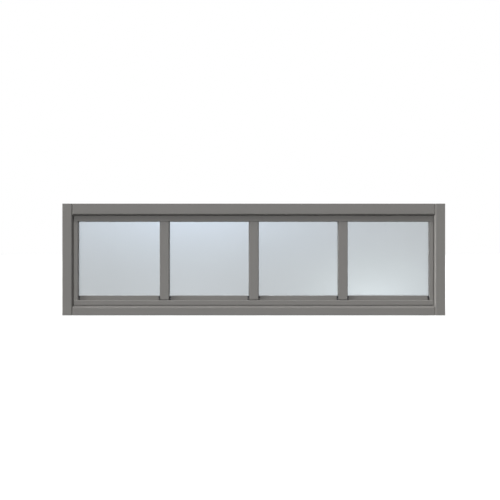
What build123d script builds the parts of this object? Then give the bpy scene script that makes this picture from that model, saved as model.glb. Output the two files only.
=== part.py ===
from build123d import *
import os

# Fixed transom window: a thermally broken aluminium frame, a double-glazed unit and applied bars.
# It stands on its sill. X runs across it, Y from outside to inside, Z up. All sizes in millimetres.

# Overall size of the frame
width = 1219.0
height = 356.0
depth = 83.0

# Frame members: a flat face, then a splayed reveal that runs back to the glazing
jamb_face = 29.6
head_face = 33.0
sill_face = 24.5
reveal = 14.0
jamb_splay = 3.3
head_splay = 4.0
sill_slope = 6.0
frame_wall = 2.0
edge_break = 0.8

# V at each joint, between a jamb's splay and the bevelled end of the head or the sill
joint_depth = 7.0
joint_bevel = 2.8

# Thermal break: two plastic strips a member, each with a dovetailed foot in either shell
shell_lap = 2.0
strip_web = 2.0
strip_foot = 4.0
groove_depth = 2.5
strip_inset = 6.0

# Glazing stops round the glass: rails run through, stiles stand between them
reveal_gap = 1.6
stop_wall = 1.6
foot_depth = 5.0
stile_face = 12.6
stile_bevel = 2.0
top_rail_face = 17.5
top_rail_bevel = 1.4
bottom_rail_face = 15.8
bottom_rail_round = 2.4
bead_face = 14.4
bead_thickness = 5.0
bead_round = 1.0
bead_gap = 3.0
inside_relief = 5.0

# Bars on the glass, and the spacer bars between the panes that line up with them
bar_count = 3
bar_width = 33.0
inside_bar_width = 26.0
bar_bevel = 2.6
bar_setback = 1.5
bar_foot_gap = 2.0
end_lite_extra = 5.9
inner_bar_width = 20.0
inner_bar_wall = 1.0
inner_bar_gap = 0.3

# Sealed double-glazed unit, a little behind the middle of the frame's depth
glass_offset = 1.5
pane = 4.0
cavity = 16.0
glass_bite = 13.2
seal_width = 3.0
spacer_width = 6.0
gasket = 1.0
gasket_width = 7.0
gasket_inset = 1.0
block_length = 100.0
block_overhang = 0.5

# Fixing screw holes through each jamb, hidden under the inside stops
screw_hole = 6.0
screw_setback = 20.0
screw_from_end = 90.0

# Each member's flat face, the slant beside it and the direction from the frame's edge to the glass
face = {"left_jamb": jamb_face, "right_jamb": jamb_face, "head": head_face, "sill": sill_face}
slant = {"left_jamb": jamb_splay, "right_jamb": jamb_splay, "head": head_splay, "sill": sill_slope}
inward = {
    "left_jamb": Vector(1, 0, 0),
    "right_jamb": Vector(-1, 0, 0),
    "head": Vector(0, 0, -1),
    "sill": Vector(0, 0, 1),
}
jambs = ("left_jamb", "right_jamb")
stop_names = {
    "left_jamb": "left_stile",
    "right_jamb": "right_stile",
    "head": "top_rail",
    "sill": "bottom_rail",
}

# Where the V of a joint begins on the face of the head or the sill, from the frame's edge
joint_mouth = jamb_face + jamb_splay * joint_depth / reveal + joint_bevel

# Where the glazed unit lies, seen from either face
unit = pane + cavity + pane
glass_setback = (depth - unit) / 2 + glass_offset
inside_setback = depth - glass_setback - unit

# Sight lines: how far in from the frame's edge the clear glass begins on each side
stile_sight = jamb_face + jamb_splay + reveal_gap + stile_face + stile_bevel
top_sight = head_face + head_splay + reveal_gap + top_rail_face + top_rail_bevel
bottom_sight = sill_face + sill_slope + reveal_gap + bottom_rail_face + bead_face
clear_width = width - 2 * stile_sight
clear_height = height - top_sight - bottom_sight
clear_middle = bottom_sight + clear_height / 2
middle_lite = (clear_width - bar_count * bar_width - 2 * end_lite_extra) / (bar_count + 1)
bar_spacing = middle_lite + bar_width
bar_places = [(number - (bar_count - 1) / 2) * bar_spacing for number in range(bar_count)]


def setback_of(inside):
    """Distance from the face of the frame to the glass, on the inside or the outside."""
    return inside_setback if inside else glass_setback


def relief_of(inside):
    """How far the stops on this face stay back from the outside sight lines."""
    return inside_relief if inside else 0


def wall_line(side):
    """Where the splay ends and the frame's wall beside the glazing begins."""
    return face[side] + slant[side]


def half_run(side):
    """Half of the member's full length."""
    return height / 2 if side in jambs else width / 2


def member_plane(side, inside):
    """Section plane at mid-length: x runs from the frame's edge to the glass, y from the face inward."""
    into_wall = Vector(0, -1, 0) if inside else Vector(0, 1, 0)
    across = inward[side]
    half_across = width / 2 if side in jambs else height / 2
    origin = Vector(0, 0, height / 2) - across * half_across - into_wall * (depth / 2)
    return Plane(origin=origin, x_dir=across, z_dir=across.cross(into_wall))


def strip_lines(side):
    """Centre lines of a member's two thermal break strips."""
    return (strip_inset, wall_line(side) - strip_inset)


def strip_foot_outline(centre, mouth, bottom):
    """Dovetail of a strip's foot, from the mouth of its groove to the bottom."""
    return [
        (centre - strip_web / 2, mouth),
        (centre - strip_foot / 2, bottom),
        (centre + strip_foot / 2, bottom),
        (centre + strip_web / 2, mouth),
    ]


def jamb_cope(jamb):
    """Cutting section that fits the end of a head or sill piece to a jamb and bevels it for the V."""
    line = wall_line("left_jamb")
    v_bottom = joint_mouth - joint_bevel
    corner = joint_mouth + joint_bevel
    outline = [
        (-joint_depth, -joint_depth),
        (corner, -joint_depth),
        (v_bottom, joint_depth),
        (line, reveal),
        (line, depth - reveal),
        (v_bottom, depth - joint_depth),
        (corner, depth + joint_depth),
        (-joint_depth, depth + joint_depth),
    ]
    with BuildSketch(member_plane(jamb, inside=False)) as cope:
        with BuildLine():
            Polyline(*outline, close=True)
        make_face()
    return cope.sketch


def end_plug(side):
    """Section of the block that closes the front of a hollow head or sill where its end is bevelled."""
    skin = frame_wall / 2
    plug_back = joint_depth + frame_wall
    inner_edge = face[side] + slant[side] * plug_back / reveal - skin
    return [(skin, skin), (face[side] - skin, skin), (inner_edge, plug_back), (skin, plug_back)]


def frame_shell(side, inside):
    """One hollow frame extrusion, with grooves in its back for the thermal break strips."""
    back = setback_of(inside) + shell_lap
    line = wall_line(side)
    web = groove_depth + frame_wall
    plug_length = joint_mouth + frame_wall
    with BuildPart() as shell:
        with BuildSketch(member_plane(side, inside)) as section:
            with BuildLine():
                Polyline((0, 0), (face[side], 0), (line, reveal), (line, back), (0, back), close=True)
            make_face()
            chamfer(section.vertices().sort_by(Axis.Y)[:2], length=edge_break)
            offset(amount=-frame_wall, kind=Kind.INTERSECTION, mode=Mode.SUBTRACT)
            with Locations((line / 2, back - web / 2)):
                Rectangle(line, web)
            for centre in strip_lines(side):
                with BuildLine():
                    Polyline(*strip_foot_outline(centre, back, back - groove_depth), close=True)
                make_face(mode=Mode.SUBTRACT)
        extrude(amount=half_run(side), both=True)
        if side not in jambs:
            for end in (-1, 1):
                with BuildSketch(member_plane(side, inside).offset(end * (width - plug_length) / 2)):
                    with BuildLine():
                        Polyline(*end_plug(side), close=True)
                    make_face()
                extrude(amount=plug_length / 2, both=True)
            for jamb in jambs:
                extrude(jamb_cope(jamb), amount=height, both=True, mode=Mode.SUBTRACT)
        elif inside:
            with BuildSketch(Plane.YZ):
                with Locations((depth / 2 - screw_setback, height / 2)):
                    with GridLocations(0, height - 2 * screw_from_end, 1, 2):
                        Circle(screw_hole / 2)
            extrude(amount=width, both=True, mode=Mode.SUBTRACT)
    return shell


def thermal_break(side):
    """The two plastic strips that hold a member's outer and inner shells together."""
    outer_back = glass_setback + shell_lap
    inner_back = depth - inside_setback - shell_lap
    with BuildPart() as strips:
        with BuildSketch(member_plane(side, inside=False)):
            for centre in strip_lines(side):
                foot = strip_foot_outline(centre, outer_back, outer_back - groove_depth)
                far_foot = strip_foot_outline(centre, inner_back, inner_back + groove_depth)
                with BuildLine():
                    Polyline(*foot, *reversed(far_foot), close=True)
                make_face()
        extrude(amount=half_run(side), both=True)
        if side not in jambs:
            for jamb in jambs:
                extrude(jamb_cope(jamb), amount=height, both=True, mode=Mode.SUBTRACT)
    return strips


def rail_inner_edge(side, inside):
    """Glass side of a rail's section, from its front to its back."""
    back = setback_of(inside) - gasket
    relief = relief_of(inside)
    if side == "head":
        front_end = wall_line(side) + reveal_gap + top_rail_face - relief
        return [(front_end, reveal), (top_sight - relief, back)]
    ledge = wall_line(side) + reveal_gap + bottom_rail_face
    bead_front = back - bead_thickness
    sight = bottom_sight - relief
    return [(ledge, reveal), (ledge, bead_front), (sight, bead_front), (sight, back)]


def stop_outline(side, inside):
    """Section of a glazing stop: its face, its glass side, and a foot that seats on the frame."""
    line = wall_line(side)
    edge = line + reveal_gap
    back = setback_of(inside) - gasket
    if side in jambs:
        front = reveal + bar_setback
        relief = relief_of(inside)
        inner_edge = [(edge + stile_face - relief, front), (stile_sight - relief, back)]
    else:
        front = reveal
        inner_edge = rail_inner_edge(side, inside)
    return [(edge, front), *inner_edge, (line, back), (line, back - foot_depth), (edge, back - foot_depth)]


def rail_cope(side, inside, foot_gap=0):
    """Cutting section that fits an upright's end under the top rail, or over the bead to the ledge."""
    setback = setback_of(inside)
    inner_edge = rail_inner_edge(side, inside)
    if side == "sill":
        inner_edge[:2] = [(up + foot_gap, back) for up, back in inner_edge[:2]]
    outline = [(0, 0), (inner_edge[0][0], 0), *inner_edge, (inner_edge[-1][0], setback), (0, setback)]
    with BuildSketch(member_plane(side, inside)) as cope:
        with BuildLine():
            Polyline(*outline, close=True)
        make_face()
    return cope.sketch


def bead_gaps(inside):
    """Middle and half width of each gap in the bead, under the stiles and the bars."""
    at_stile = stile_sight - relief_of(inside) + bead_gap
    at_bar = (inside_bar_width if inside else bar_width) / 2 + bead_gap
    return [(-width / 2, at_stile), (width / 2, at_stile), *((place, at_bar) for place in bar_places)]


def glazing_stop(side, inside):
    """A hollow rail or stile that holds the glass against its gasket."""
    with BuildPart() as stop:
        with BuildSketch(member_plane(side, inside)) as section:
            with BuildLine():
                Polyline(*stop_outline(side, inside), close=True)
            make_face()
            front_corners = section.vertices().sort_by(Axis.Y)[:2].sort_by(Axis.X)
            chamfer(front_corners[0] if side == "sill" else front_corners, length=edge_break)
            offset(amount=-stop_wall, kind=Kind.INTERSECTION, mode=Mode.SUBTRACT)
            if side == "sill":
                ledge, bead_root, bead_top, bead_back = rail_inner_edge(side, inside)
                fillet(section.vertices().sort_by_distance(ledge)[0], radius=bottom_rail_round)
                fillet(section.vertices().sort_by_distance(bead_top)[0], radius=bead_round)
        if side in jambs:
            extrude(amount=height / 2, both=True)
            for rail in ("head", "sill"):
                extrude(rail_cope(rail, inside), amount=width, both=True, mode=Mode.SUBTRACT)
        else:
            extrude(amount=width / 2 - wall_line("left_jamb") - reveal_gap, both=True)
        if side == "sill":
            for middle, half_width in bead_gaps(inside):
                with BuildSketch(member_plane(side, inside).offset(middle)):
                    with BuildLine():
                        Polyline(bead_root, bead_top, bead_back, (ledge[0], bead_back[1]), close=True)
                    make_face()
                extrude(amount=half_width, both=True, mode=Mode.SUBTRACT)
    return stop


def glazing_bar(place, inside):
    """A hollow bar with bevelled sides that lies on the glass between the rails."""
    setback = setback_of(inside)
    front = reveal + bar_setback
    half = (inside_bar_width if inside else bar_width) / 2
    into_wall = Vector(0, -1, 0) if inside else Vector(0, 1, 0)
    origin = Vector(place, 0, height / 2) - into_wall * (depth / 2)
    across = Vector(1, 0, 0)
    with BuildPart() as bar:
        with BuildSketch(Plane(origin=origin, x_dir=across, z_dir=across.cross(into_wall))) as section:
            with BuildLine():
                Polyline(
                    (-half, setback),
                    (-half + bar_bevel, front),
                    (half - bar_bevel, front),
                    (half, setback),
                    close=True,
                )
            make_face()
            chamfer(section.vertices().sort_by(Axis.Y)[:2], length=edge_break)
            offset(amount=-stop_wall, kind=Kind.INTERSECTION, mode=Mode.SUBTRACT)
        extrude(amount=height / 2, both=True)
        for rail in ("head", "sill"):
            extrude(rail_cope(rail, inside, bar_foot_gap), amount=width, both=True, mode=Mode.SUBTRACT)
    return bar


def plane_behind(distance):
    """Upright plane across the window, the given distance behind its outside face."""
    return Plane.XZ.offset(depth / 2 - distance)


def glass_sheet(front):
    """One pane, from the given distance behind the outside face."""
    with BuildPart() as sheet:
        with BuildSketch(plane_behind(front + pane)):
            with Locations((0, clear_middle)):
                Rectangle(clear_width + 2 * glass_bite, clear_height + 2 * glass_bite)
        extrude(amount=pane)
    return sheet


def ring(outer_margin, ring_width, front, thickness):
    """A loop round the clear glass; its outer edge lies outer_margin outside the sight line."""
    loop_width = clear_width + 2 * outer_margin
    loop_height = clear_height + 2 * outer_margin
    with BuildPart() as loop:
        with BuildSketch(plane_behind(front + thickness)):
            with Locations((0, clear_middle)):
                Rectangle(loop_width, loop_height)
                Rectangle(loop_width - 2 * ring_width, loop_height - 2 * ring_width, mode=Mode.SUBTRACT)
        extrude(amount=thickness)
    return loop


def spacer_bar(place):
    """A thin hollow bar between the panes, behind a glazing bar, held by the edge spacer."""
    margin = glass_bite - seal_width - spacer_width
    bar_depth = cavity - 2 * inner_bar_gap
    front = glass_setback + pane + inner_bar_gap
    with BuildPart() as bar:
        with BuildSketch(Plane(origin=(place, front + bar_depth / 2 - depth / 2, clear_middle))):
            Rectangle(inner_bar_width, bar_depth)
            offset(amount=-inner_bar_wall, kind=Kind.INTERSECTION, mode=Mode.SUBTRACT)
        extrude(amount=clear_height / 2 + margin, both=True)
    return bar


def setting_blocks():
    """Two blocks on the sill that carry the glazed unit at its quarter points."""
    glass_width = clear_width + 2 * glass_bite
    bottom = wall_line("sill")
    top = bottom_sight - glass_bite
    block_depth = unit + 2 * block_overhang
    with BuildPart() as blocks:
        with BuildSketch(plane_behind(glass_setback - block_overhang + block_depth)):
            with Locations((0, (bottom + top) / 2)):
                with GridLocations(glass_width / 2, 0, 2, 1):
                    Rectangle(block_length, top - bottom)
        extrude(amount=block_depth)
    return blocks


def finish(piece, name):
    """Label a finished piece and write it out."""
    piece.part.label = name
    export_step(piece.part, f"parts/{name}.step")


os.makedirs("parts", exist_ok=True)

for side in face:
    finish(frame_shell(side, inside=False), f"{side}_outer_shell")
    finish(frame_shell(side, inside=True), f"{side}_inner_shell")
    finish(thermal_break(side), f"{side}_thermal_break")
    finish(glazing_stop(side, inside=False), f"outside_{stop_names[side]}")
    finish(glazing_stop(side, inside=True), f"inside_{stop_names[side]}")

for number, place in enumerate(bar_places, start=1):
    finish(glazing_bar(place, inside=False), f"outside_bar_{number}")
    finish(glazing_bar(place, inside=True), f"inside_bar_{number}")
    finish(spacer_bar(place), f"spacer_bar_{number}")

outer_pane_back = glass_setback + pane
inner_pane_front = outer_pane_back + cavity
finish(glass_sheet(glass_setback), "outer_pane")
finish(glass_sheet(inner_pane_front), "inner_pane")
finish(ring(glass_bite, seal_width, outer_pane_back, cavity), "edge_seal")
finish(ring(glass_bite - seal_width, spacer_width, outer_pane_back, cavity), "edge_spacer")
gasket_margin = gasket_inset + gasket_width
finish(ring(gasket_margin, gasket_width, glass_setback - gasket, gasket), "outside_gasket")
finish(ring(gasket_margin + inside_relief, gasket_width, glass_setback + unit, gasket), "inside_gasket")
finish(setting_blocks(), "setting_blocks")
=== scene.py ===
# %% [markdown]
# # A transom window with four panes
#
# A transom window is the low, wide window that sits over a door. This one is fixed: an aluminium frame holds
# a sealed unit of two glass panes, and three upright bars on the glass divide it into four. Every hard shape
# comes from the CAD model, so this lesson is about finishes, glass and light. We load the solids first and
# note the size of the whole window, because only small trim may reach past it.

# %% Load the window
import math

import bmesh
import bpy
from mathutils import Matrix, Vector


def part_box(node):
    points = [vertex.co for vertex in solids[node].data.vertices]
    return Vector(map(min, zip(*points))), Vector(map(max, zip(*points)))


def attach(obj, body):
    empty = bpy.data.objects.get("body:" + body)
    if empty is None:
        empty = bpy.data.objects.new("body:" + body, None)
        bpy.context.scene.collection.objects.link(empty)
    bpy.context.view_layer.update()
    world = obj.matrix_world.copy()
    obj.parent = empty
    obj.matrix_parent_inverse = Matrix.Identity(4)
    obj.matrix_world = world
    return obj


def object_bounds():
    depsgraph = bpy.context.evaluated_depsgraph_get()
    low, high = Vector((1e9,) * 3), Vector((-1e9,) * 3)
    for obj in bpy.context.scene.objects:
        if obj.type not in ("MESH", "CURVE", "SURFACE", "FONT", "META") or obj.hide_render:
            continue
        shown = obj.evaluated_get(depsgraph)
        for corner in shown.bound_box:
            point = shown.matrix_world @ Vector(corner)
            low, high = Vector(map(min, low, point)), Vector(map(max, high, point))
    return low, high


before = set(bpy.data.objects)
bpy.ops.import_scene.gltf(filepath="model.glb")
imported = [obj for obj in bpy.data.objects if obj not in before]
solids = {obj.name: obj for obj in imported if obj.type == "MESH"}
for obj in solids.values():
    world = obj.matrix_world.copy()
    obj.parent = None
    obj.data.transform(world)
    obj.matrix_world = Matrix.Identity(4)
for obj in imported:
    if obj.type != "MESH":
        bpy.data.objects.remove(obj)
solids_low, solids_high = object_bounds()
window_width, window_depth, window_height = solids_high - solids_low
print(f"{len(solids)} solids, {window_width:.3f} x {window_depth:.3f} x {window_height:.3f} m")

# %% [markdown]
# ## Helpers for every finish
#
# Colours are given in sRGB, the way a paint chart or a screen shows them, but Blender mixes light in
# linear values. One function turns the first into the second. Another adds a shader node, sets its options
# and fills its sockets, so that a finish reads as a short list of what happens to the surface. The sizes of
# patterns are written in millimetres, and a third function turns them into texture scales.

# %% Helpers for colours and nodes
MM = 0.001
WHITE = "#FFFFFF"


def paint(hex_code):
    """Turn an sRGB hex colour into the linear colour that Blender mixes with."""
    shares = [int(hex_code[i:i + 2], 16) / 255 for i in (1, 3, 5)]
    return (*[s / 12.92 if s <= 0.04045 else ((s + 0.055) / 1.055) ** 2.4 for s in shares], 1.0)


def add(tree, kind, fill=None, **options):
    """Add one node, set its options, and fill its sockets with values or with links from other nodes."""
    node = tree.nodes.new("ShaderNode" + kind)
    for option, choice in options.items():
        setattr(node, option, choice)
    for socket, value in (fill or {}).items():
        if isinstance(value, bpy.types.NodeSocket):
            tree.links.new(value, node.inputs[socket])
        else:
            node.inputs[socket].default_value = value
    return node


def per_metre(size_in_mm):
    """Texture scale for a pattern whose marks are this many millimetres across."""
    return 1 / (size_in_mm * MM)


print("white in linear light:", paint(WHITE)[:3])


# %% Helpers that start a finish and put it on
def start_finish(name):
    """Make an empty material and return it with its node tree and the place of each point in metres."""
    finish = bpy.data.materials.new(name)
    finish.use_nodes = True
    finish.node_tree.nodes.clear()
    return finish, finish.node_tree, add(finish.node_tree, "TexCoord").outputs["Object"]


def dress(finish, *names):
    """Give a finish to solids, by name."""
    for name in names:
        solids[name].data.materials.clear()
        solids[name].data.materials.append(finish)
    print(f"{finish.name}: {len(names)} solids")


print("solids to dress:", len(solids))

# %% [markdown]
# ## Grey powder coat
#
# The aluminium is powder coated: dry paint powder clings to the charged metal and is baked until it flows.
# The result is an even, satin skin with a very fine orange peel. We could use one flat grey, but then large
# faces look like plastic. So the grey drifts a little over a hand's width, as a sprayed coat does, the gloss
# changes with it, and a noise bump gives the peel. Real peel is about 1 mm across, finer than one pixel here,
# so it is drawn at 4 mm to show at all.

# %% Lay a powder coat
COAT_GREY, COAT_LIGHT = "#787673", "#7C7A77"
COAT_IOR, coat_specular, coat_gloss = 1.5, 0.18, (0.54, 0.64)
drift_size, peel_size, peel_height, peel_strength = 90.0, 4.0, 0.05, 0.25
seed_ways = (1.0, 0.7, 0.4)


def lay_powder_coat(tree, place, seed):
    """Lay the coat on a tree and return its shader. The seed moves the pattern, so no two members match."""
    aside = [seed * way for way in seed_ways]
    moved = add(tree, "VectorMath", {0: place, 1: aside}, operation="ADD").outputs[0]
    drift = add(tree, "TexNoise", {"Vector": moved, "Scale": per_metre(drift_size), "Detail": 3.0}).outputs[0]
    peel = add(tree, "TexNoise", {"Vector": moved, "Scale": per_metre(peel_size), "Detail": 1.0}).outputs[0]
    grey = add(tree, "Mix", {0: drift, 6: paint(COAT_GREY), 7: paint(COAT_LIGHT)}, data_type="RGBA")
    gloss = add(tree, "MapRange", {0: drift, 3: coat_gloss[0], 4: coat_gloss[1]})
    waves = add(tree, "Bump", {"Height": peel, "Strength": peel_strength, "Distance": peel_height * MM})
    return add(tree, "BsdfPrincipled", {
        "Base Color": grey.outputs[2], "Roughness": gloss.outputs[0], "IOR": COAT_IOR,
        "Specular IOR Level": coat_specular, "Normal": waves.outputs[0]}).outputs[0]


def powder_coat(name, seed):
    """A whole finish made of the coat alone."""
    finish, tree, place = start_finish(name)
    add(tree, "OutputMaterial", {"Surface": lay_powder_coat(tree, place, seed)})
    return finish


print("powder coat between", COAT_GREY, "and", COAT_LIGHT)

# %% Coat the head, the sill, the stops and the bars
crosswise_shells = [n for n in solids if n.startswith(("head_", "sill_")) and n.endswith("_shell")]
stops = [n for n in solids if n.endswith(("_rail", "_stile"))]
bars = [n for n in solids if n.startswith(("outside_bar", "inside_bar"))]
inner_bars = [n for n in solids if n.startswith("spacer_bar")]
dress(powder_coat("powder_coat_on_head_and_sill", seed=1.3), *crosswise_shells)
dress(powder_coat("powder_coat_on_stops", seed=4.1), *stops)
dress(powder_coat("powder_coat_on_bars", seed=7.7), *bars)
dress(powder_coat("powder_coat_on_inner_bars", seed=9.2), *inner_bars)

# %% [markdown]
# ## Sawn ends on the jambs
#
# The jambs run the full height, so their cut ends show at the top and underneath. Bars are coated in long
# lengths and sawn afterwards, so the cut is bare aluminium with curved marks from the blade. The jamb is one
# solid, so we don't split it: the finish itself asks which faces point straight up or down at the very ends,
# and swaps the coat for bright metal there. The marks are rings about a point in front of the window. Real
# ones are under 1 mm apart and wouldn't show, so these are drawn about 10 mm apart.

# %% Powder coat with bare sawn ends
SAWN_METAL = "#C9CACC"
saw_gloss, saw_height, saw_strength, saw_wander = (0.28, 0.42), 0.03, 0.3, 0.6
# Added to each place, so the middle of the rings lies this far in front of the middle of the window
ring_shift = (0, 160.0 * MM, 0)
end_band, flat_enough = 1.0 * MM, 0.9
# Blender's wave turns by 20 radians in one unit, and a saw mark turns by one radian in 1.6 mm
wave_radians, saw_radian = 20, 1.6


def is_sawn(tree, place):
    """1 on faces that point up or down at the ends of the jambs, and 0 elsewhere."""
    facing = add(tree, "SeparateXYZ", {0: add(tree, "NewGeometry").outputs["Normal"]}).outputs[2]
    steep = add(tree, "Math", {0: facing}, operation="ABSOLUTE").outputs[0]
    flat = add(tree, "Math", {0: steep, 1: flat_enough}, operation="GREATER_THAN").outputs[0]
    level = add(tree, "SeparateXYZ", {0: place}).outputs[2]
    from_middle = add(tree, "Math", {0: level, 1: window_height / 2}, operation="SUBTRACT").outputs[0]
    away = add(tree, "Math", {0: from_middle}, operation="ABSOLUTE").outputs[0]
    end_level = window_height / 2 - end_band
    far = add(tree, "Math", {0: away, 1: end_level}, operation="GREATER_THAN").outputs[0]
    return add(tree, "Math", {0: flat, 1: far}, operation="MULTIPLY").outputs[0]


def powder_coat_with_sawn_ends(name, seed):
    """The coat on the sides and bare metal on the top and bottom cuts."""
    finish, tree, place = start_finish(name)
    coat = lay_powder_coat(tree, place, seed)
    blade = add(tree, "VectorMath", {0: place, 1: ring_shift}, operation="ADD").outputs[0]
    scale = per_metre(saw_radian) / wave_radians
    marks = add(tree, "TexWave", {"Vector": blade, "Scale": scale, "Distortion": saw_wander},
                wave_type="RINGS", rings_direction="Z").outputs[1]
    shine = add(tree, "MapRange", {0: marks, 3: saw_gloss[0], 4: saw_gloss[1]})
    ridges = add(tree, "Bump", {"Height": marks, "Strength": saw_strength, "Distance": saw_height * MM})
    bare = add(tree, "BsdfPrincipled", {
        "Base Color": paint(SAWN_METAL), "Metallic": 1.0,
        "Roughness": shine.outputs[0], "Normal": ridges.outputs[0]}).outputs[0]
    skin = add(tree, "MixShader", {0: is_sawn(tree, place), 1: coat, 2: bare})
    add(tree, "OutputMaterial", {"Surface": skin.outputs[0]})
    return finish


upright_shells = [n for n in solids if "_jamb_" in n and n.endswith("_shell")]
dress(powder_coat_with_sawn_ends("powder_coat_on_jambs", seed=12.6), *upright_shells)

# %% [markdown]
# ## Float glass
#
# The panes are float glass, a sheet cooled on molten tin, so both faces are flat and polished. A sealed unit
# keeps back part of the light and looks a little blue. A thin sheet could be faked with one see-through
# plane, but here each pane is a real 4 mm solid, so real refraction is simplest: four polished faces give the
# double reflections for free. Shadow rays pass straight through, as lamps would otherwise leave the unit dark
# inside. A very long, shallow wave in the surface is what a toughening oven leaves behind.

# %% Glass for the two panes
GLASS_TINT, GLASS_TINT_LIGHT, GLASS_IOR = "#DDE0E2", "#DFE2E4", 1.52
oven_wave, oven_height, oven_strength, film_size = 260.0, 0.02, 0.05, 140.0
float_glass, tree, place = start_finish("blue_grey_float_glass")
shadow_ray = add(tree, "LightPath").outputs["Is Shadow Ray"]
wave = add(tree, "TexNoise", {"Vector": place, "Scale": per_metre(oven_wave), "Detail": 0.0}).outputs[0]
film = add(tree, "TexNoise", {"Vector": place, "Scale": per_metre(film_size), "Detail": 4.0}).outputs[0]
tint = add(tree, "Mix", {
    0: film, 6: paint(GLASS_TINT), 7: paint(GLASS_TINT_LIGHT)}, data_type="RGBA").outputs[2]
bent = add(tree, "Bump", {"Height": wave, "Strength": oven_strength, "Distance": oven_height * MM})
pane = add(tree, "BsdfPrincipled", {
    "Base Color": tint, "Roughness": 0.0, "IOR": GLASS_IOR,
    "Transmission Weight": 1.0, "Normal": bent.outputs[0]}).outputs[0]
clear = add(tree, "BsdfTransparent", {0: tint}).outputs[0]
let_through = add(tree, "MixShader", {0: shadow_ray, 1: pane, 2: clear})
add(tree, "OutputMaterial", {"Surface": let_through.outputs[0]})
dress(float_glass, "outer_pane", "inner_pane")

# %% [markdown]
# ## Plastic strips, rubber and sealant
#
# Between the outer and inner shells run strips of black polyamide filled with chopped glass, which stop the
# cold from crossing the frame. They are extruded, so faint streaks follow their length. The gaskets are EPDM
# rubber, the edge of the unit is closed with a black sealant that is tooled by hand, and the unit stands on
# nylon blocks. All four are dark and close in colour, so each gets its own mark: streaks, a soft bloom,
# lumps, or a moulded grain. The spacer between the panes is plain rolled aluminium, as it left the mill.

# %% Glass-filled polyamide for the thermal breaks
POLYAMIDE_BLACK, POLYAMIDE_GREY, POLYAMIDE_IOR = "#141415", "#2A2A2C", 1.53
fibre_width, fibre_length, fibre_height, fibre_strength = 0.8, 30.0, 0.05, 0.3


def polyamide(name, stretch):
    """Black glass-filled polyamide whose streaks follow the way it was extruded."""
    finish, tree, place = start_finish(name)
    drawn_out = add(tree, "VectorMath", {0: place, 1: stretch}, operation="MULTIPLY").outputs[0]
    streaks = add(tree, "TexNoise", {
        "Vector": drawn_out, "Scale": per_metre(fibre_width), "Detail": 2.0}).outputs[0]
    black = add(tree, "Mix", {
        0: streaks, 6: paint(POLYAMIDE_BLACK), 7: paint(POLYAMIDE_GREY)}, data_type="RGBA")
    lines = add(tree, "Bump", {"Height": streaks, "Strength": fibre_strength, "Distance": fibre_height * MM})
    skin = add(tree, "BsdfPrincipled", {
        "Base Color": black.outputs[2], "Roughness": 0.5, "IOR": POLYAMIDE_IOR, "Normal": lines.outputs[0]})
    add(tree, "OutputMaterial", {"Surface": skin.outputs[0]})
    return finish


squeeze = fibre_width / fibre_length
dress(polyamide("glass_filled_polyamide_along", (squeeze, 1, 1)), "head_thermal_break", "sill_thermal_break")
dress(polyamide("glass_filled_polyamide_upright", (1, 1, squeeze)),
      "left_jamb_thermal_break", "right_jamb_thermal_break")

# %% Rubber, sealant and nylon
lump_strength = 0.4


def mottled_skin(name, low, high, mark, gloss, lump, detail=3.0, ior=1.5):
    """A finish whose colour, gloss and lumps follow one noise. The mark and the lump are in millimetres."""
    finish, tree, place = start_finish(name)
    bloom = add(tree, "TexNoise", {"Vector": place, "Scale": per_metre(mark), "Detail": detail}).outputs[0]
    shade = add(tree, "Mix", {0: bloom, 6: paint(low), 7: paint(high)}, data_type="RGBA")
    shine = add(tree, "MapRange", {0: bloom, 3: gloss[0], 4: gloss[1]})
    lumps = add(tree, "Bump", {"Height": bloom, "Strength": lump_strength, "Distance": lump * MM})
    skin = add(tree, "BsdfPrincipled", {
        "Base Color": shade.outputs[2], "Roughness": shine.outputs[0],
        "IOR": ior, "Normal": lumps.outputs[0]})
    add(tree, "OutputMaterial", {"Surface": skin.outputs[0]})
    return finish


dress(mottled_skin("epdm_gasket_rubber", "#17181A", "#232426", mark=18.0, gloss=(0.55, 0.75), lump=0.05),
      "outside_gasket", "inside_gasket")
dress(mottled_skin("tooled_black_sealant", "#101011", "#1C1C1D", mark=9.0, gloss=(0.35, 0.6), lump=0.4),
      "edge_seal")
dress(mottled_skin("moulded_grey_nylon", "#3A3B3D", "#454648", mark=1.2, gloss=(0.45, 0.6), lump=0.05),
      "setting_blocks")

# %% Mill-finish aluminium for the edge spacer
MILL_DARK, MILL_LIGHT = "#8D8E90", "#9B9C9E"
rolled_mark, rolled_gloss = 2.5, (0.35, 0.5)
spacer_finish, tree, place = start_finish("mill_finish_spacer")
rolled = add(tree, "TexNoise", {"Vector": place, "Scale": per_metre(rolled_mark), "Detail": 2.0}).outputs[0]
metal = add(tree, "Mix", {0: rolled, 6: paint(MILL_DARK), 7: paint(MILL_LIGHT)}, data_type="RGBA")
shine = add(tree, "MapRange", {0: rolled, 3: rolled_gloss[0], 4: rolled_gloss[1]})
skin = add(tree, "BsdfPrincipled", {
    "Base Color": metal.outputs[2], "Metallic": 1.0, "Roughness": shine.outputs[0]})
add(tree, "OutputMaterial", {"Surface": skin.outputs[0]})
dress(spacer_finish, "edge_spacer")

# %% [markdown]
# ## Assembly screws
#
# Two screws at each corner, one in either shell, pass through the jamb and hold the head or the sill. They
# have low, wide heads with a six-lobed socket, and only show from the sides. A screw could be a stack of
# cylinders, but the head is a soft dome, so we turn a profile about its axis, ring by ring, and let the rings
# of the socket swell and pinch six times.

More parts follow.
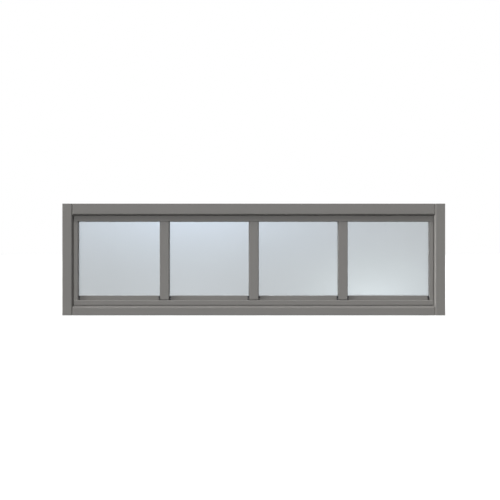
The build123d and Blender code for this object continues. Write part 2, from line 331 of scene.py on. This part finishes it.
# %% Stainless steel for the screws
STEEL = "#B4B3B0"
turning_mark, steel_gloss = 0.6, (0.22, 0.36)
steel, tree, place = start_finish("stainless_screw_steel")
turning = add(tree, "TexNoise", {"Vector": place, "Scale": per_metre(turning_mark), "Detail": 2.0}).outputs[0]
shine = add(tree, "MapRange", {0: turning, 3: steel_gloss[0], 4: steel_gloss[1]})
skin = add(tree, "BsdfPrincipled", {
    "Base Color": paint(STEEL), "Metallic": 1.0, "Roughness": shine.outputs[0]})
add(tree, "OutputMaterial", {"Surface": skin.outputs[0]})
print("mixed", steel.name)

# %% Turn a screw head
head_radius, head_height, socket_radius, socket_depth = 4.6 * MM, 1.7 * MM, 2.0 * MM, 1.2 * MM
steps_round, lobes, lobe_swell, crease_angle = 48, 6, 0.14, math.radians(40)
socket_bottom = 1.0 - socket_depth / head_height
# Each ring's radius, its rise as a share of the head's height, and 1 where it has lobes
screw_profile = [
    (head_radius, 0.0, 0), (head_radius, 0.35, 0), (0.93 * head_radius, 0.66, 0),
    (0.78 * head_radius, 0.9, 0), (0.6 * head_radius, 1.0, 0),
    (socket_radius, 1.0, 1), (0.94 * socket_radius, 0.94, 1), (0.9 * socket_radius, socket_bottom, 1),
]


def turn_ring(turned, radius, rise, lobed):
    """One ring of points about the screw's axis."""
    ring = []
    for step in range(steps_round):
        turn = 2 * math.pi * step / steps_round
        reach = radius * (1 + lobe_swell * lobed * math.cos(lobes * turn))
        ring.append(turned.verts.new((reach * math.cos(turn), reach * math.sin(turn), rise * head_height)))
    return ring


def screw_head(name, middle, outward):
    """A low dome with a six-lobed socket, seated on the side of a jamb."""
    turned = bmesh.new()
    rings = [turn_ring(turned, *ring) for ring in screw_profile]
    for outer, inner in zip(rings, rings[1:]):
        for step in range(steps_round):
            after = (step + 1) % steps_round
            turned.faces.new((outer[step], outer[after], inner[after], inner[step]))
    turned.faces.new(rings[-1])
    turned.faces.new(reversed(rings[0]))
    bmesh.ops.recalc_face_normals(turned, faces=turned.faces)
    mesh = bpy.data.meshes.new(name)
    turned.to_mesh(mesh)
    turned.free()
    mesh.set_sharp_from_angle(angle=crease_angle)
    mesh.materials.append(steel)
    head = bpy.data.objects.new(name, mesh)
    bpy.context.scene.collection.objects.link(head)
    head.location = middle
    head.rotation_euler = Vector(outward).to_track_quat("Z", "Y").to_euler()
    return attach(head, "root")


print("a screw head is", round(2 * head_radius / MM, 1), "mm across")

# %% Drive the screws
below_top, above_bottom = 15.0 * MM, 12.0 * MM
head_low, head_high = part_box("head_outer_shell")
sill_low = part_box("sill_outer_shell")[0]
outer_middle = (head_low.y + head_high.y) / 2
inner_middle = sum(corner.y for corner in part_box("head_inner_shell")) / 2
screw_levels = {"head": head_high.z - below_top, "sill": sill_low.z + above_bottom}
screws = []
for side, sign in (("left", -1), ("right", 1)):
    for member, level in screw_levels.items():
        for shell, across in (("outer", outer_middle), ("inner", inner_middle)):
            seat = Vector((sign * window_width / 2, across, level))
            screws.append(screw_head(f"{side}_{member}_{shell}_screw", seat, (sign, 0, 0)))
print("turned", len(screws), "screw heads")

# %% [markdown]
# ## Sealer in the corner joints
#
# The head and the sill butt against the jambs, and a small V is left where they meet. The fitter runs a thin
# bead of dark sealer along its bottom and draws a finger over it, so its skin is hollow and a little uneven.
# Its dark colour is also painted shade: it makes the bottom of the V darker than the V's own shade does.
# A dark stripe in the coat would look flat from the side, so each bead is its own small solid: a hollow curve
# across the V, joined to the V's bottom and drawn out along the joint.

# %% Draw a bead of sealer
# Dark sealer; its dark colour also paints shade into the bottom of each V
sealer_shade = mottled_skin("tooled_joint_bead_and_painted_shade", "#1E1E1F", "#2B2B2C", mark=3.0, gloss=(0.5, 0.7), lump=0.1,
                      detail=2.0, ior=1.43)
joint_depth, jamb_share, end_share = 7.0 * MM, 1.65 * MM, 2.8 * MM
fill, hollow, bead_steps = 0.10, 0.15 * MM, 6


def bead_section(side, face_y, into):
    """Points round a bead, seen from above: the V's bottom, then the hollow curve from wall to wall."""
    bottom_x = side * (head_high.x - head_low.x) / 2
    section = [(bottom_x, face_y + into * joint_depth)]
    for step in range(bead_steps + 1):
        along = step / bead_steps
        across = fill * (jamb_share - along * (jamb_share + end_share))
        sag = hollow * (1 - (2 * along - 1) ** 2)
        section.append((bottom_x + side * across, face_y + into * (joint_depth * (1 - fill) + sag)))
    return section


def joint_bead(name, side, face_y, into, low, high):
    """A bead of dark sealer in one V, whose colour also paints shade into its bottom. The side is -1 or 1,
    and into points from the face into the frame.
    """
    section = bead_section(side, face_y, into)
    count = len(section)
    points = [(x, y, level) for level in (low, high) for x, y in section]
    faces = [(i, (i + 1) % count, count + (i + 1) % count, count + i) for i in range(count)]
    faces += [tuple(range(count)), tuple(range(count, 2 * count))]
    mesh = bpy.data.meshes.new(name)
    mesh.from_pydata(points, [], faces)
    drawn = bmesh.new()
    drawn.from_mesh(mesh)
    bmesh.ops.recalc_face_normals(drawn, faces=drawn.faces)
    drawn.to_mesh(mesh)
    drawn.free()
    mesh.materials.append(sealer_shade)
    bead = bpy.data.objects.new(name, mesh)
    bpy.context.scene.collection.objects.link(bead)
    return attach(bead, "root")


print("mixed", sealer_shade.name)

# %% Lay the beads
head_face, sill_face, end_clearance = 33.0 * MM, 24.5 * MM, 0.5 * MM
joint_levels = {
    "head": (head_high.z - head_face, head_high.z - end_clearance),
    "sill": (sill_low.z + end_clearance, sill_low.z + sill_face),
}
beads = []
for side, sign in (("left", -1), ("right", 1)):
    for member, (low, high) in joint_levels.items():
        for way, face_y, into in (("outside", solids_low.y, 1), ("inside", solids_high.y, -1)):
            beads.append(joint_bead(f"{side}_{member}_{way}_sealer", sign, face_y, into, low, high))
print("laid", len(beads), "beads of sealer")

# %% [markdown]
# ## Camera
#
# The photograph looks straight at the outside of the window from 3 to 4 m, level, with a long lens. The
# frame's outline gives the scale at its front face, and the window sits a little right of and below the
# middle of the picture, so the camera stands a little left and high. No lens shift is needed.

# %% Put up the camera
picture_pixels, metres_per_pixel, stand_back = 500, 3.183 * MM, 3.4
window_in_picture = (253.75, 259.5)
camera_left, camera_up = ((pixel - picture_pixels / 2) * metres_per_pixel for pixel in window_in_picture)
eye = bpy.data.cameras.new("camera")
eye.sensor_width = 36.0
eye.lens = eye.sensor_width * stand_back / (picture_pixels * metres_per_pixel)
camera = bpy.data.objects.new("camera", eye)
bpy.context.scene.collection.objects.link(camera)
camera.location = (-camera_left, solids_low.y - stand_back, window_height / 2 + camera_up)
camera.rotation_euler = (math.pi / 2, 0, 0)
bpy.context.scene.camera = camera
print(f"lens {eye.lens:.1f} mm, camera at", [round(c, 3) for c in camera.location])

# %% [markdown]
# ## White surroundings
#
# The picture has a clean white ground. The world is white for what the camera sees, directly, in a reflection
# or through the glass, and a softer level for what it lights, so that the frame keeps its shading. That level
# leans: it is stronger from the left than from the right, which keeps the sides that face right dark. The
# floor is pale, keeps the window's shadow, and throws little light back up, because the undersides in the
# photograph are dark.

# %% White world
sky_light, sky_lean = 0.355, 0.335
bpy.context.scene.view_settings.view_transform = "Standard"
world = bpy.data.worlds.new("white_studio")
bpy.context.scene.world = world
world.use_nodes = True
tree = world.node_tree
tree.nodes.clear()
ray = add(tree, "LightPath").outputs
seen = add(tree, "Math", {0: ray["Is Camera Ray"], 1: ray["Is Glossy Ray"]}, operation="MAXIMUM").outputs[0]
seen = add(tree, "Math", {0: seen, 1: ray["Is Transmission Ray"]}, operation="MAXIMUM").outputs[0]
rightward = add(tree, "SeparateXYZ", {0: add(tree, "TexCoord").outputs["Generated"]}).outputs[0]
level = add(tree, "Math", {0: rightward, 1: -sky_lean, 2: sky_light}, operation="MULTIPLY_ADD").outputs[0]
glow = add(tree, "Background", {"Color": paint(WHITE), "Strength": level}).outputs[0]
white = add(tree, "Background", {"Color": paint(WHITE), "Strength": 1.0}).outputs[0]
add(tree, "OutputWorld", {0: add(tree, "MixShader", {0: seen, 1: glow, 2: white}).outputs[0]})
print("white world, lighting level", sky_light, "leaning left by", sky_lean)

# %% Pale floor
FLOOR_GREY, floor_reach = "#808080", 40.0
floor_finish, tree, place = start_finish("pale_studio_floor")
ray = add(tree, "LightPath").outputs
tone = add(tree, "Mix", {0: ray["Is Camera Ray"], 6: paint(FLOOR_GREY), 7: paint(WHITE)}, data_type="RGBA")
matt = add(tree, "BsdfDiffuse", {0: tone.outputs[2]}).outputs[0]
mirrored = add(tree, "Math", {0: ray["Is Glossy Ray"], 1: ray["Is Transmission Ray"]}, operation="MAXIMUM")
lit = add(tree, "Emission", {0: paint(WHITE), 1: 1.0}).outputs[0]
add(tree, "OutputMaterial", {0: add(tree, "MixShader", {0: mirrored.outputs[0], 1: matt, 2: lit}).outputs[0]})


def flat_sheet(name, corners, finish):
    """One four-cornered sheet for the stage, which isn't part of the window."""
    mesh = bpy.data.meshes.new(name)
    mesh.from_pydata(corners, [], [(0, 1, 2, 3)])
    mesh.materials.append(finish)
    sheet = bpy.data.objects.new(name, mesh)
    bpy.context.scene.collection.objects.link(sheet)
    return sheet


round_the_floor = ((-1, -1), (1, -1), (1, 1), (-1, 1))
flat_sheet("floor", [(x * floor_reach, y * floor_reach, 0) for x, y in round_the_floor], floor_finish)
print("floor", 2 * floor_reach, "m wide")

# %% [markdown]
# ## Lamps
#
# Two soft lamps shape the frame. One hangs high in front, so the head drops a soft shade on the rail under it
# and the sloping sill catches light. The other stands far to the left, almost in line with the window: it
# grazes the front faces and picks out the sides that face left. In the photograph the left jamb throws no
# shade on the stop beside it, but each bar shades the bead on its right. So this lamp is stopped by the stops
# and the bars only, which Blender calls shadow linking. The left sides of the bars and of the right stile are
# no lighter than their faces there. So this lamp passes over those pieces, and a third one nearer the front
# lights them and nothing else, which is light linking. Two weak lamps fill the room side and the right side,
# which the photograph doesn't show: the frame itself keeps them off the outside. A level of 1 would turn a
# white card facing the lamp white.


# %% Choose what the lamps meet
def gather(name, pieces, link_state="INCLUDE"):
    """A group of solids that a lamp is linked to. With EXCLUDE it stands for everything else."""
    group = bpy.data.collections.new(name)
    for piece in pieces:
        group.objects.link(solids[piece])
    for entry in group.collection_objects:
        entry.light_linking.link_state = link_state
    return group


uprights = [n for n in bars if n.startswith("outside")] + ["outside_right_stile"]
stops_and_bars = gather("stops_and_bars", stops + bars)
only_uprights = gather("only_uprights", uprights)
all_but_uprights = gather("all_but_uprights", uprights, "EXCLUDE")
print("lit by a lamp of their own:", uprights)

# %% Hang the lamps
hang_distance = 4.0
# Each lamp's name, level, direction, spread in degrees, the pieces that stop it and those that it lights.
# None stands for all pieces
lamp_plan = [
    ("high_front_lamp", 0.69, (0.0, -0.5, 0.866), 30.0, None, None),
    ("left_side_lamp", 1.03, (-0.955, -0.29, 0.05), 24.0, stops_and_bars, all_but_uprights),
    ("left_front_lamp", 0.325, (-0.45, -0.89, 0.05), 24.0, stops_and_bars, only_uprights),
    ("room_side_fill", 0.45, (0.0, 0.97, 0.24), 16.0, None, None),
    ("right_side_fill", 0.35, (0.98, 0.03, 0.20), 2.0, None, None),
]
for name, level, toward, spread, stopped_by, lights in lamp_plan:
    lamp = bpy.data.lights.new(name, "SUN")
    lamp.energy = level * math.pi
    lamp.angle = math.radians(spread)
    hung = bpy.data.objects.new(name, lamp)
    bpy.context.scene.collection.objects.link(hung)
    hung.location = Vector(toward) * hang_distance
    hung.rotation_euler = Vector(toward).to_track_quat("Z", "Y").to_euler()
    hung.light_linking.blocker_collection = stopped_by
    hung.light_linking.receiver_collection = lights
    print(name, "level", level)

# %% [markdown]
# ## What the glass reflects
#
# Glass shows its surroundings. In the photograph a wide bluish glow fills the upper left and a smaller white
# one the lower right, with a darker band between them. Painting that on the glass would slide wrongly when
# the camera moves, so a card stands in front of the window, dark with soft glows, and only reflections see
# it. A third, faint glow low on the left keeps that corner from going too dark. Each glow is placed where it
# should appear on the glass, then moved out along the mirrored line of sight.

# %% Find places on the card
card_distance = 1.5
glass_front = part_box("outer_pane")[0].y
eye_to_glass = glass_front - camera.location.y
glass_scale = metres_per_pixel * eye_to_glass / stand_back
card_scale = glass_scale * (1 + card_distance / eye_to_glass)


def on_card(pixel_x, pixel_y):
    """Where on the card a spot of the picture is mirrored from, as x and z in metres."""
    across = (pixel_x - picture_pixels / 2) * card_scale
    up = (picture_pixels / 2 - pixel_y) * card_scale
    return camera.location.x + across, camera.location.z + up


print(f"one pixel of the picture is {card_scale / MM:.2f} mm on the card")

# %% Stand the reflection card
# Each glow's colour, its strength, and its middle and reach in pixels of the picture
glows = [
    ("#C6DFFF", 7.74, (188, 211), (274, 89)),
    ("#EEFEFF", 5.6, (373, 296), (145, 81)),
    ("#ECF5FF", 1.57, (195, 302), (130, 140)),
]
card_side_pixels, card_low, card_high = (40, 468), 2.0 * MM, 500.0 * MM
card_finish, tree, place = start_finish("card_with_three_glows")
total = None
for colour, strength, middle, reach in glows:
    x, z = on_card(*middle)
    across, up = (pixels * card_scale for pixels in reach)
    moved = add(tree, "VectorMath", {0: place, 1: (x, 0, z)}, operation="SUBTRACT").outputs[0]
    rounded = add(tree, "VectorMath", {0: moved, 1: (1 / across, 0, 1 / up)}, operation="MULTIPLY").outputs[0]
    fade = add(tree, "TexGradient", {0: rounded}, gradient_type="QUADRATIC_SPHERE").outputs[1]
    power = add(tree, "Math", {0: fade, 1: strength}, operation="MULTIPLY").outputs[0]
    glow = add(tree, "Emission", {0: paint(colour), 1: power}).outputs[0]
    total = glow if total is None else add(tree, "AddShader", {0: total, 1: glow}).outputs[0]
add(tree, "OutputMaterial", {0: total})

card_y = glass_front - card_distance
left, right = (on_card(pixel_x, 0)[0] for pixel_x in card_side_pixels)
round_the_card = ((left, card_low), (right, card_low), (right, card_high), (left, card_high))
card = flat_sheet("reflection_card", [(x, card_y, z) for x, z in round_the_card], card_finish)
card.visible_camera = card.visible_diffuse = card.visible_transmission = card.visible_shadow = False
print(f"card {right - left:.2f} m wide at {card_distance} m")
